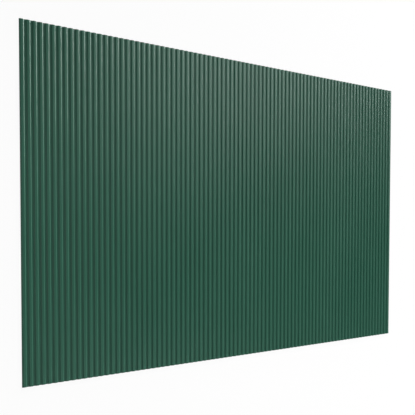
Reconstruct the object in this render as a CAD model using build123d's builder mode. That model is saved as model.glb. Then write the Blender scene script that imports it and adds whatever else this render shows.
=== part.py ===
"""A trapezoidal metal sheet: one piece of thin coated steel, roll-formed into
many small straight ribs, lying flat with its ribs along Y.

Frame, in millimetres: X runs across the ribs, Y along them and Z up. The
origin is under the middle of the sheet, on the floor that its valleys rest on.
"""

from build123d import *
from math import atan2, tan
import os

# Driving dimensions
rib_count = 87
rib_pitch = 34.5  # from one crest to the next
sheet_length = 2000.0  # along the ribs
rib_height = 4.2  # from a valley to a crest, skin to like skin
crest_width = 13.3  # between the corners of the upper skin, before they are bent round
valley_width = 8.6  # the same in a valley
first_lip = 2.1  # flat left at the first edge, before the first flank
sheet_thickness = 0.5
bend_radius = 1.5  # on the inside of every bend

# What follows from them
flank_run = (rib_pitch - crest_width - valley_width) / 2
flank_angle = atan2(rib_height, flank_run)  # radians
outer_radius = bend_radius + sheet_thickness
sheet_width = rib_count * rib_pitch

# A bend's corner moves sideways by this much from the upper skin to the lower
corner_shift = sheet_thickness * tan(flank_angle / 2)


def rib_corners(shift, valley_z):
    """Corners of one skin of one rib, with X counted from the rib's middle.

    The skin runs along the first lip, up one flank, over the crest, down the
    other flank and along the rest of the valley to where the next rib starts.
    """
    rib_start = -rib_pitch / 2
    crest_start = rib_start + first_lip + flank_run
    crest_end = crest_start + crest_width
    crest_z = valley_z + rib_height
    return [
        (rib_start, valley_z),
        (rib_start + first_lip + shift, valley_z),
        (crest_start + shift, crest_z),
        (crest_end - shift, crest_z),
        (crest_end + flank_run - shift, valley_z),
        (rib_start + rib_pitch, valley_z),
    ]


# Over a crest the upper skin is the outside of the bends, in a valley the inside
with BuildLine() as one_rib:
    FilletPolyline(
        *rib_corners(0, sheet_thickness),
        radius=[bend_radius, outer_radius, outer_radius, bend_radius],
    )
    FilletPolyline(
        *rib_corners(corner_shift, 0),
        radius=[outer_radius, bend_radius, bend_radius, outer_radius],
    )

with BuildPart() as trapezoidal_sheet:
    with BuildSketch(Plane.XZ.offset(-sheet_length / 2)):
        with BuildLine():
            with GridLocations(rib_pitch, 0, rib_count, 1):
                add(one_rib.line)
            for edge in (-sheet_width / 2, sheet_width / 2):
                Line((edge, 0), (edge, sheet_thickness))
        make_face()
    extrude(amount=sheet_length)

trapezoidal_sheet.part.label = "trapezoidal_sheet"

os.makedirs("parts", exist_ok=True)
export_step(trapezoidal_sheet.part, "parts/trapezoidal_sheet.step")
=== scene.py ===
"""Looks for a trapezoidal metal sheet: green coil coating, grey backing coat, cut steel edges.

The sheet lies flat on a pale floor with its ribs along Y. Everything is in
metres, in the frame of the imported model.
"""

import logging
import math
from dataclasses import dataclass, field
from enum import Enum

import bpy
from mathutils import Matrix, Vector

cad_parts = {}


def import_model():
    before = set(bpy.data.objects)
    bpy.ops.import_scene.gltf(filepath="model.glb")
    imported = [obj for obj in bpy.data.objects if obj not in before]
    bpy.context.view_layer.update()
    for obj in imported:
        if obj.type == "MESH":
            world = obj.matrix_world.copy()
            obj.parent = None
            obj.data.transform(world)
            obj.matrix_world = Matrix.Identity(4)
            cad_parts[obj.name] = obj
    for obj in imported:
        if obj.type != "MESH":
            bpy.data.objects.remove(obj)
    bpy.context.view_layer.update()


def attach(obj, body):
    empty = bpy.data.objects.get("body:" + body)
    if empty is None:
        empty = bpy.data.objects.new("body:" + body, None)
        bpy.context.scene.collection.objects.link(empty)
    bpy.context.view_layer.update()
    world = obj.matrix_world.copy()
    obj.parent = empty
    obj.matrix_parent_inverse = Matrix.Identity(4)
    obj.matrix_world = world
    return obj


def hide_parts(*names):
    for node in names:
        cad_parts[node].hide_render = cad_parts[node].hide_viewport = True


IMAGE_SIDE = 415  # pixels, both ways
FILM_WIDTH = 36.0  # millimetres

log = logging.getLogger("sheet")


class Skin(Enum):
    """The three surfaces of the sheet, with the mark that each one's faces carry."""

    FRONT = 0.0
    CUT = 0.5
    BACK = 1.0


class NodeWriter:
    """Adds nodes to one node tree and wires their inputs."""

    def __init__(self, tree: bpy.types.NodeTree) -> None:
        """Keep the tree that the nodes go into.

        Args:
            tree: A geometry or shader node tree.
        """
        self.tree = tree
        self.column = 0

    def add(self, kind: str, inputs: dict | None = None, **settings: object) -> bpy.types.Node:
        """Make one node.

        Args:
            kind: The node's type name.
            inputs: Values or output sockets, by the input's name or number.
            **settings: Properties of the node itself.

        Returns:
            The new node.
        """
        node = self.tree.nodes.new(kind)
        node.location = (180 * self.column, -40 * (self.column % 5))
        self.column += 1
        for name, value in settings.items():
            setattr(node, name, value)
        for key, value in (inputs or {}).items():
            self.wire(node.inputs[key], value)
        return node

    def wire(self, socket: bpy.types.NodeSocket, value: object) -> None:
        """Link a socket to an output, or set its value.

        Args:
            socket: The input socket.
            value: An output socket, or a plain value.
        """
        if isinstance(value, bpy.types.NodeSocket):
            self.tree.links.new(value, socket)
        else:
            socket.default_value = value

    def math(self, operation: str, *terms: object) -> bpy.types.NodeSocket:
        """Make a math node.

        Args:
            operation: The operation's name.
            *terms: Numbers or output sockets.

        Returns:
            The result's socket.
        """
        node = self.add("ShaderNodeMath", dict(enumerate(terms)), operation=operation)
        return node.outputs[0]

    def product(self, *terms: object) -> bpy.types.NodeSocket:
        """Multiply all the terms and return the result's socket."""
        total = terms[0]
        for term in terms[1:]:
            total = self.math("MULTIPLY", total, term)
        return total

    def total(self, *terms: object) -> bpy.types.NodeSocket:
        """Add all the terms and return the result's socket."""
        result = terms[0]
        for term in terms[1:]:
            result = self.math("ADD", result, term)
        return result

    def pick(self, index: bpy.types.NodeSocket, *choices: object) -> bpy.types.NodeSocket:
        """Choose one number by a whole-number index.

        Args:
            index: The socket that gives the index.
            *choices: Numbers or output sockets, the first for index 0.

        Returns:
            The chosen number's socket.
        """
        node = self.tree.nodes.new("GeometryNodeIndexSwitch")
        node.data_type = "FLOAT"
        while len(node.index_switch_items) < len(choices):
            node.index_switch_items.new()
        self.wire(node.inputs[0], index)
        for slot, choice in enumerate(choices, start=1):
            self.wire(node.inputs[slot], choice)
        return node.outputs[0]


@dataclass(frozen=True)
class RibProfile:
    """The section's sizes in metres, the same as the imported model's."""

    count: int = 87
    pitch: float = 0.0345
    height: float = 0.0042
    crest_width: float = 0.0133
    valley_width: float = 0.0086
    first_lip: float = 0.0021
    thickness: float = 0.0005
    bend_radius: float = 0.0015
    bend_steps: int = 6

    @property
    def flank_run(self) -> float:
        """Width across one sloping flank."""
        return (self.pitch - self.crest_width - self.valley_width) / 2

    @property
    def flank_angle(self) -> float:
        """Slope of a flank in radians."""
        return math.atan2(self.height, self.flank_run)

    @property
    def corner_shift(self) -> float:
        """How far a bend's corner moves sideways from the upper to the lower skin."""
        return self.thickness * math.tan(self.flank_angle / 2)


class SheetTree:
    """The geometry node tree that rolls the sheet from its section's sizes."""

    corners_per_rib = 4  # on either skin
    length_steps = 8
    sharpest_smooth_fold = math.radians(30)

    def __init__(self, profile: RibProfile, length: float) -> None:
        """Keep the sizes that the tree's inputs get.

        Args:
            profile: The section's sizes.
            length: The sheet's length along its ribs.
        """
        self.values: dict[str, object] = {
            "Rib Count": profile.count,
            "Rib Pitch": profile.pitch,
            "Rib Height": profile.height,
            "Crest Width": profile.crest_width,
            "Flank Run": profile.flank_run,
            "First Lip": profile.first_lip,
            "Corner Shift": profile.corner_shift,
            "Thickness": profile.thickness,
            "Bend Radius": profile.bend_radius,
            "Bend Steps": profile.bend_steps,
            "Sheet Length": length,
            "Length Steps": self.length_steps,
        }
        self.tree = bpy.data.node_groups.new("ribbed_sheet", "GeometryNodeTree")
        self.write = NodeWriter(self.tree)
        self.identifiers: dict[str, str] = {}

    def open_inputs(self) -> bpy.types.Node:
        """Make the tree's named inputs and its output.

        Returns:
            The group input node.
        """
        face = self.tree.interface
        face.new_socket("Geometry", in_out="OUTPUT", socket_type="NodeSocketGeometry")
        for name, value in self.values.items():
            kind = "NodeSocketInt" if isinstance(value, int) else "NodeSocketFloat"
            self.identifiers[name] = face.new_socket(name, in_out="INPUT", socket_type=kind).identifier
        for skin in Skin:
            name = f"{skin.name.title()} Finish"
            made = face.new_socket(name, in_out="INPUT", socket_type="NodeSocketMaterial")
            self.identifiers[name] = made.identifier
        return self.write.add("NodeGroupInput")

    def outline(self, given: bpy.types.Node) -> tuple[bpy.types.NodeSocket, bpy.types.NodeSocket]:
        """Draw the closed outline of the section, its bends rounded.

        The corners run along the upper skin from the first edge to the last and
        back along the lower skin, with four to a rib on either skin.

        Args:
            given: The group input node.

        Returns:
            The outline curve, and the field that marks its lower skin.
        """
        w, v = self.write, given.outputs
        edges = 2
        per_skin = w.total(w.product(v["Rib Count"], self.corners_per_rib), edges)
        all_corners = w.product(per_skin, 2)
        index = w.add("GeometryNodeInputIndex").outputs[0]
        lower = w.math("GREATER_THAN", index, w.math("SUBTRACT", per_skin, 0.5))
        from_last = w.math("SUBTRACT", w.math("SUBTRACT", all_corners, 1), index)
        along = w.total(w.product(index, w.math("SUBTRACT", 1, lower)), w.product(from_last, lower))

        rib_place = w.math("SUBTRACT", along, 1)
        rib = w.math("FLOOR", w.math("DIVIDE", rib_place, self.corners_per_rib))
        corner = w.math("FLOORED_MODULO", rib_place, self.corners_per_rib)
        at_start = w.math("LESS_THAN", along, 0.5)
        at_end = w.math("GREATER_THAN", along, w.math("SUBTRACT", per_skin, 1.5))
        inside = w.math("SUBTRACT", 1, w.total(at_start, at_end))

        shift = w.product(v["Corner Shift"], lower)
        crest_start = w.total(v["First Lip"], v["Flank Run"])
        crest_end = w.total(crest_start, v["Crest Width"])
        corner_x = w.pick(
            corner,
            w.total(v["First Lip"], shift),
            w.total(crest_start, shift),
            w.math("SUBTRACT", crest_end, shift),
            w.math("SUBTRACT", w.total(crest_end, v["Flank Run"]), shift),
        )
        on_crest = w.product(w.pick(corner, 0.0, 1.0, 1.0, 0.0), inside)
        width = w.product(v["Rib Count"], v["Rib Pitch"])
        x = w.total(
            w.product(w.total(w.product(rib, v["Rib Pitch"]), corner_x), inside),
            w.product(width, at_end),
            w.product(width, -0.5),
        )
        height = w.total(
            w.product(v["Rib Height"], on_crest),
            w.product(v["Thickness"], w.math("SUBTRACT", 1, lower)),
        )
        outside_of_bend = w.math("COMPARE", on_crest, lower, 0.5)
        wide = w.product(v["Thickness"], w.math("SUBTRACT", 1, outside_of_bend))
        radius = w.product(w.total(v["Bend Radius"], wide), inside)

        # Swept along +Y, the section's own Y points down
        place = w.add("ShaderNodeCombineXYZ", {0: x, 1: w.product(height, -1)}).outputs[0]
        points = w.add("GeometryNodePoints", {"Count": all_corners, "Position": place}).outputs[0]
        marked = w.add(
            "GeometryNodeStoreNamedAttribute",
            {"Geometry": points, "Name": "skin", "Value": lower},
            domain="POINT",
            data_type="FLOAT",
        ).outputs[0]
        sized = w.add(
            "GeometryNodeStoreNamedAttribute",
            {"Geometry": marked, "Name": "bend", "Value": radius},
            domain="POINT",
            data_type="FLOAT",
        ).outputs[0]
        line = w.add("GeometryNodePointsToCurves", {0: sized}).outputs[0]
        closed = w.add("GeometryNodeSetSplineCyclic", {"Geometry": line, "Cyclic": True}).outputs[0]
        bend = w.add("GeometryNodeInputNamedAttribute", {"Name": "bend"}, data_type="FLOAT").outputs[0]
        rounded = w.add("GeometryNodeFilletCurve", {"Curve": closed, "Radius": bend})
        self.round_bends(rounded, v["Bend Steps"])
        skin = w.add("GeometryNodeInputNamedAttribute", {"Name": "skin"}, data_type="FLOAT").outputs[0]
        return rounded.outputs[0], skin

    def round_bends(self, fillet: bpy.types.Node, steps: bpy.types.NodeSocket) -> None:
        """Make a fillet node cut each bend into straight steps.

        Args:
            fillet: The fillet node.
            steps: The socket that gives the number of steps in a bend.
        """
        fillet.mode = "POLY"
        self.write.wire(fillet.inputs["Count"], steps)
        self.write.wire(fillet.inputs["Limit Radius"], False)

    def build(self) -> bpy.types.NodeTree:
        """Write the whole tree.

        Returns:
            The finished tree.
        """
        w = self.write
        given = self.open_inputs()
        v = given.outputs
        outline, skin = self.outline(given)

        half = w.product(v["Sheet Length"], 0.5)
        start = w.add("ShaderNodeCombineXYZ", {1: w.product(half, -1)}).outputs[0]
        end = w.add("ShaderNodeCombineXYZ", {1: half}).outputs[0]
        run = w.add("GeometryNodeCurvePrimitiveLine", {"Start": start, "End": end}).outputs[0]
        steps = w.total(v["Length Steps"], 1)
        stepped = w.add("GeometryNodeResampleCurve", {"Curve": run, "Count": steps}).outputs[0]
        upright = w.add("GeometryNodeSetCurveNormal", {"Curve": stepped}, mode="Z_UP").outputs[0]
        rolled = w.add(
            "GeometryNodeCurveToMesh",
            {"Curve": upright, "Profile Curve": outline, "Fill Caps": True},
        ).outputs[0]

        fold = w.add("GeometryNodeInputMeshEdgeAngle").outputs["Unsigned Angle"]
        corner = w.math("GREATER_THAN", fold, self.sharpest_smooth_fold)
        shaded = w.add(
            "GeometryNodeSetShadeSmooth",
            {"Geometry": rolled, "Selection": corner, "Shade Smooth": False},
            domain="EDGE",
        ).outputs[0]
        whole = w.add("GeometryNodeRealizeInstances", {"Geometry": shaded}).outputs[0]
        for chosen in Skin:
            # The first finish goes on every face, and the others over it
            faces = True if chosen is Skin.FRONT else w.math("COMPARE", skin, chosen.value, 0.25)
            finish = v[f"{chosen.name.title()} Finish"]
            inputs = {"Geometry": whole, "Selection": faces, "Material": finish}
            whole = w.add("GeometryNodeSetMaterial", inputs).outputs[0]
        w.add("NodeGroupOutput", {0: whole})
        return self.tree


@dataclass(frozen=True)
class GrainSizes:
    """How fine a coat's patterns are, in waves per metre along X, Y and Z."""

    shade: tuple[float, float, float] = (1.7, 0.9, 4.0)
    roll_marks: tuple[float, float, float] = (420.0, 1.3, 420.0)
    peel: tuple[float, float, float] = (900.0, 650.0, 900.0)
    shade_share: float = 1.6  # of the slow shade, next to 1 of the roll marks
    mark_height: float = 0.35  # of the roll marks, next to 1 of the peel


class CoatGrain:
    """The node group that both coats share: slow shade drift, roll marks and a fine peel."""

    def __init__(self, sizes: GrainSizes = GrainSizes()) -> None:
        """Build the group once.

        Args:
            sizes: How fine the patterns are.
        """
        self.sizes = sizes
        self.group = bpy.data.node_groups.new("coat_grain", "ShaderNodeTree")
        face = self.group.interface
        for name, kind, value in (
            ("Colour", "NodeSocketColor", (0.5, 0.5, 0.5, 1.0)),
            ("Drift", "NodeSocketFloat", 0.04),
            ("Roughness", "NodeSocketFloat", 0.4),
            ("Roughness Drift", "NodeSocketFloat", 0.04),
        ):
            face.new_socket(name, in_out="INPUT", socket_type=kind).default_value = value
        face.new_socket("Colour", in_out="OUTPUT", socket_type="NodeSocketColor")
        face.new_socket("Roughness", in_out="OUTPUT", socket_type="NodeSocketFloat")
        face.new_socket("Height", in_out="OUTPUT", socket_type="NodeSocketFloat")
        self.write = NodeWriter(self.group)
        self.fill()

    def noise(self, stretch: tuple[float, float, float], detail: float) -> bpy.types.NodeSocket:
        """Make a noise on the object's own coordinates.

        Args:
            stretch: Waves per metre along X, Y and Z.
            detail: How many finer layers it has.

        Returns:
            The noise's socket, about 0.5 on average.
        """
        w = self.write
        place = w.add("ShaderNodeTexCoord").outputs["Object"]
        turned = w.add("ShaderNodeMapping", {"Vector": place, "Scale": stretch}).outputs[0]
        made = w.add("ShaderNodeTexNoise", {"Vector": turned, "Scale": 1.0, "Detail": detail})
        return made.outputs[0]

    def fill(self) -> None:
        """Write the group's nodes."""
        w = self.write
        given = w.add("NodeGroupInput").outputs
        slow = w.math("SUBTRACT", self.noise(self.sizes.shade, 3.0), 0.5)
        marks = w.math("SUBTRACT", self.noise(self.sizes.roll_marks, 2.0), 0.5)
        both = w.total(w.product(slow, self.sizes.shade_share), marks)
        # A noise less its mean swings by half, so twice that is a swing of 1
        gain = w.total(w.product(both, given["Drift"], 2.0), 1.0)
        shade = w.add("ShaderNodeVectorMath", {0: given["Colour"], 3: gain}, operation="SCALE").outputs[0]
        rough = w.total(w.product(both, given["Roughness Drift"], 2.0), given["Roughness"])
        peel = self.noise(self.sizes.peel, 2.0)
        height = w.total(peel, w.product(marks, self.sizes.mark_height))
        w.add("NodeGroupOutput", {"Colour": shade, "Roughness": rough, "Height": height})


@dataclass(frozen=True)
class CoilCoat:
    """A baked paint coat on one side of the steel."""

    name: str
    colour: tuple[float, float, float]
    roughness: float
    drift: float
    roughness_drift: float
    peel: float  # bump distance in metres

    def make(self, grain: CoatGrain) -> bpy.types.Material:
        """Build the coat's material.

        Args:
            grain: The shared grain group.

        Returns:
            The material.
        """
        material = bpy.data.materials.new(self.name)
        material.use_nodes = True
        material.diffuse_color = (*self.colour, 1.0)
        material.node_tree.nodes.clear()
        w = NodeWriter(material.node_tree)
        group = w.add("ShaderNodeGroup", node_tree=grain.group)
        w.wire(group.inputs["Colour"], (*self.colour, 1.0))
        w.wire(group.inputs["Drift"], self.drift)
        w.wire(group.inputs["Roughness"], self.roughness)
        w.wire(group.inputs["Roughness Drift"], self.roughness_drift)
        bump = w.add(
            "ShaderNodeBump",
            {"Strength": 1.0, "Distance": self.peel, "Height": group.outputs["Height"]},
        )
        shader = w.add(
            "ShaderNodeBsdfPrincipled",
            {
                "Base Color": group.outputs["Colour"],
                "Roughness": group.outputs["Roughness"],
                "Metallic": 0.0,
                "IOR": 1.5,
                "Normal": bump.outputs[0],
            },
        )
        w.add("ShaderNodeOutputMaterial", {"Surface": shader.outputs[0]})
        return material


@dataclass(frozen=True)
class CutSteel:
    """The bare steel and zinc that a shear leaves along an edge."""

    name: str = "cut_steel"
    bright: tuple[float, float, float] = (0.46, 0.47, 0.48)
    dull: tuple[float, float, float] = (0.28, 0.28, 0.28)
    roughness: float = 0.42
    roughness_swing: float = 0.3
    streaks: tuple[float, float, float] = (300.0, 300.0, 2200.0)  # waves per metre
    streak_depth: float = 0.00004  # bump distance in metres

    def make(self) -> bpy.types.Material:
        """Build the edge's material.

        Returns:
            The material.
        """
        material = bpy.data.materials.new(self.name)
        material.use_nodes = True
        material.diffuse_color = (*self.bright, 1.0)
        material.node_tree.nodes.clear()
        w = NodeWriter(material.node_tree)
        place = w.add("ShaderNodeTexCoord").outputs["Object"]
        turned = w.add("ShaderNodeMapping", {"Vector": place, "Scale": self.streaks}).outputs[0]
        streaks = w.add("ShaderNodeTexNoise", {"Vector": turned, "Scale": 1.0, "Detail": 3.0}).outputs[0]
        mix = w.add(
            "ShaderNodeMix",
            {0: streaks, 6: (*self.dull, 1.0), 7: (*self.bright, 1.0)},
            data_type="RGBA",
        )
        swing = w.product(w.math("SUBTRACT", streaks, 0.5), self.roughness_swing)
        rough = w.total(swing, self.roughness)
        bump = w.add(
            "ShaderNodeBump",
            {"Strength": 1.0, "Distance": self.streak_depth, "Height": streaks},
        )
        shader = w.add(
            "ShaderNodeBsdfPrincipled",
            {
                "Base Color": mix.outputs[2],
                "Roughness": rough,
                "Metallic": 1.0,
                "Normal": bump.outputs[0],
            },
        )
        w.add("ShaderNodeOutputMaterial", {"Surface": shader.outputs[0]})
        return material


@dataclass(frozen=True)
class PaleFloor:
    """A plain floor that shows white and keeps the sheet's shadow."""

    name: str = "studio_floor"
    colour: tuple[float, float, float] = (0.92, 0.92, 0.92)
    glow: float = 0.88  # share of plain white in what is seen close to the sheet
    shadow_reach: float = 2.5  # metres from the middle, where the glow starts to grow
    all_white: float = 7.0  # metres from the middle, where only the glow is left
    half_side: float = 40.0
    drop: float = 0.00005  # the floor's top is this far under the sheet

    def material(self) -> bpy.types.Material:
        """Build the floor's material.

        Returns:
            The material.
        """
        material = bpy.data.materials.new(self.name)
        material.use_nodes = True
        material.node_tree.nodes.clear()
        w = NodeWriter(material.node_tree)
        plain = w.add("ShaderNodeBsdfDiffuse", {"Color": (*self.colour, 1.0)}).outputs[0]
        white = w.add("ShaderNodeEmission", {"Color": (1.0, 1.0, 1.0, 1.0), "Strength": 1.0}).outputs[0]
        place = w.add("ShaderNodeTexCoord").outputs["Object"]
        away = w.add("ShaderNodeVectorMath", {0: place}, operation="LENGTH").outputs["Value"]
        glow = w.add(
            "ShaderNodeMapRange",
            {
                "Value": away,
                "From Min": self.shadow_reach,
                "From Max": self.all_white,
                "To Min": self.glow,
                "To Max": 1.0,
            },
        ).outputs[0]
        ray = w.add("ShaderNodeLightPath").outputs
        seen = w.math("MAXIMUM", ray["Is Camera Ray"], ray["Is Glossy Ray"])
        seen = w.math("MAXIMUM", seen, ray["Is Transmission Ray"])
        mix = w.add("ShaderNodeMixShader", {0: w.product(seen, glow), 1: plain, 2: white})
        w.add("ShaderNodeOutputMaterial", {"Surface": mix.outputs[0]})
        return material

    def build(self) -> bpy.types.Object:
        """Lay the floor.

        Returns:
            The floor object.
        """
        s, z = self.half_side, -self.drop
        mesh = bpy.data.meshes.new(self.name)
        mesh.from_pydata([(-s, -s, z), (s, -s, z), (s, s, z), (-s, s, z)], [], [(0, 1, 2, 3)])
        mesh.materials.append(self.material())
        floor = bpy.data.objects.new(self.name, mesh)
        bpy.context.scene.collection.objects.link(floor)
        return floor


@dataclass
class CoatedSheet:
    """The one rolled sheet, with a finish on each of its skins."""

    name: str = "coated_sheet"
    length: float = 2.0
    profile: RibProfile = field(default_factory=RibProfile)
    front: CoilCoat = CoilCoat(
        name="green_coil_coat",
        colour=(0.015, 0.091, 0.056),
        roughness=0.42,
        drift=0.05,
        roughness_drift=0.04,
        peel=0.000012,
    )
    back: CoilCoat = CoilCoat(
        name="grey_backing_coat",
        colour=(0.40, 0.41, 0.40),
        roughness=0.55,
        drift=0.05,
        roughness_drift=0.05,
        peel=0.000010,
    )
    cut: CutSteel = CutSteel()

    def finishes(self) -> dict[Skin, bpy.types.Material]:
        """Build the material of each skin.

        Returns:
            The materials by skin.
        """
        grain = CoatGrain()
        return {
            Skin.FRONT: self.front.make(grain),
            Skin.CUT: self.cut.make(),
            Skin.BACK: self.back.make(grain),
        }

    def roll(self) -> bpy.types.Object:
        """Run the sheet's node tree and turn its result into a plain mesh.

        Returns:
            The sheet object, at the origin.
        """
        maker = SheetTree(self.profile, self.length)
        tree = maker.build()
        host = bpy.data.objects.new(f"{self.name}_host", bpy.data.meshes.new("host"))
        bpy.context.scene.collection.objects.link(host)
        modifier = host.modifiers.new("roll", "NODES")
        modifier.node_group = tree
        for name, value in maker.values.items():
            modifier[maker.identifiers[name]] = value
        for skin, material in self.finishes().items():
            modifier[maker.identifiers[f"{skin.name.title()} Finish"]] = material
        # Wide faces lead the normals, so that crests, flanks and valleys shade flat
        host.modifiers.new("even_flats", "WEIGHTED_NORMAL").keep_sharp = True
        host.update_tag()
        graph = bpy.context.evaluated_depsgraph_get()
        mesh = bpy.data.meshes.new_from_object(host.evaluated_get(graph), depsgraph=graph)
        bpy.data.objects.remove(host)
        mesh.name = self.name
        sheet = bpy.data.objects.new(self.name, mesh)
        bpy.context.scene.collection.objects.link(sheet)
        return sheet

    def build(self) -> bpy.types.Object:
        """Make the sheet and put it in place of the plain node.

        Returns:
            The sheet object.
        """
        sheet = self.roll()
        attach(sheet, "root")
        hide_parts("trapezoidal_sheet")
        return sheet


@dataclass(frozen=True)
class SoftBox:
    """A rectangular studio lamp that faces the middle of the sheet."""

    name: str
    azimuth: float  # degrees from +X toward +Y
    elevation: float  # degrees above the floor
    width: float
    height: float
    radiance: float  # 1 is white when it is looked at
    distance: float = 12.0

    @property
    def place(self) -> Vector:
        """Where the lamp hangs."""
        around, up = math.radians(self.azimuth), math.radians(self.elevation)
        level = self.distance * math.cos(up)
        return Vector((level * math.cos(around), level * math.sin(around), self.distance * math.sin(up)))

    def build(self) -> bpy.types.Object:
        """Hang the lamp.

        Returns:
            The lamp object.
        """
        data = bpy.data.lights.new(self.name, "AREA")
        data.shape = "RECTANGLE"
        data.size = self.width
        data.size_y = self.height
        data.energy = self.radiance * math.pi * self.width * self.height
        lamp = bpy.data.objects.new(self.name, data)
        turn = (-self.place).to_track_quat("-Z", "Y").to_matrix().to_4x4()
        lamp.matrix_world = Matrix.Translation(self.place) @ turn
        lamp.visible_camera = False
        bpy.context.scene.collection.objects.link(lamp)
        return lamp


@dataclass(frozen=True)
class Horizon:
    """A pale band of sky round the floor that fades out upward."""

    strength: float = 1.3
    full_below: float = 0.12  # upward part of the direction, up to which the band is at full strength
    none_above: float = 0.40  # the same, from where on the sky is dark

    def build(self) -> bpy.types.World:
        """Set the world.

        Returns:
            The world.
        """
        world = bpy.data.worlds.new("studio")
        world.use_nodes = True
        world.node_tree.nodes.clear()
        w = NodeWriter(world.node_tree)
        direction = w.add("ShaderNodeTexCoord").outputs["Generated"]
        upward = w.add("ShaderNodeSeparateXYZ", {0: direction}).outputs["Z"]
        fade = w.add(
            "ShaderNodeMapRange",
            {
                "Value": upward,
                "From Min": self.full_below,
                "From Max": self.none_above,
                "To Min": 1.0,
                "To Max": 0.0,
            },
        ).outputs[0]
        sky = w.add("ShaderNodeBackground", {"Color": fade, "Strength": self.strength}).outputs[0]
        w.add("ShaderNodeOutputWorld", {"Surface": sky})
        bpy.context.scene.world = world
        return world


@dataclass(frozen=True)
class Studio:
    """The soft light that the sheet lies in."""

    horizon: Horizon = Horizon()
    lamps: tuple[SoftBox, ...] = (
        SoftBox("front_fill", azimuth=290, elevation=30, width=8.0, height=6.0, radiance=8.2),
        SoftBox("left_fill", azimuth=180, elevation=30, width=6.0, height=4.0, radiance=1.7),
        SoftBox("high_sheen", azimuth=35, elevation=50, width=5.0, height=5.0, radiance=3.8),
        SoftBox("low_sheen", azimuth=30, elevation=7, width=5.0, height=2.6, radiance=25.0),
        SoftBox("low_side", azimuth=54, elevation=7, width=5.0, height=2.6, radiance=56.0),
    )

    def build(self) -> list[bpy.types.Object]:
        """Set the world and hang the lamps.

        Returns:
            The lamp objects.
        """
        self.horizon.build()
        return [lamp.build() for lamp in self.lamps]


@dataclass(frozen=True)
class ViewPoint:
    """Where the photograph was taken from, in the sheet's frame."""

    place: tuple[float, float, float] = (-2.1707, -0.1284, 2.9003)
    right: tuple[float, float, float] = (0.8663, 0.0, 0.4995)
    forward: tuple[float, float, float] = (0.4992, -0.0297, -0.8660)
    focal: float = 524.33  # pixels
    centre: tuple[float, float] = (180.5, 244.13)  # where the optical axis meets the image

    def build(self) -> bpy.types.Object:
        """Set up the camera.

        Returns:
            The camera object.
        """
        data = bpy.data.cameras.new("view")
        data.sensor_fit = "HORIZONTAL"
        data.sensor_width = FILM_WIDTH
        data.lens = self.focal / IMAGE_SIDE * data.sensor_width
        data.shift_x = (IMAGE_SIDE / 2 - self.centre[0]) / IMAGE_SIDE
        data.shift_y = (self.centre[1] - IMAGE_SIDE / 2) / IMAGE_SIDE
        data.clip_start = 0.05
        data.clip_end = 200.0
        back = -Vector(self.forward).normalized()
        right = Vector(self.right).normalized()
        up = back.cross(right).normalized()
        right = up.cross(back)
        turn = Matrix((right, up, back)).transposed().to_4x4()
        camera = bpy.data.objects.new("view", data)
        camera.matrix_world = Matrix.Translation(self.place) @ turn
        bpy.context.scene.collection.objects.link(camera)
        bpy.context.scene.camera = camera
        return camera


def main() -> None:
    """Load the frame and build the scene in order."""
    logging.basicConfig(level=logging.INFO, format="%(name)s: %(message)s")
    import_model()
    bpy.context.scene.view_settings.view_transform = "Standard"

    camera = ViewPoint().build()
    log.info("camera with a %.1f mm lens", camera.data.lens)

    sheet = CoatedSheet().build()
    log.info("%s: %d faces, %d materials", sheet.name, len(sheet.data.polygons), len(sheet.data.materials))

    floor = PaleFloor().build()
    log.info("%s laid", floor.name)

    lamps = Studio().build()
    log.info("%d lamps hung", len(lamps))


if __name__ == "__main__":
    main()
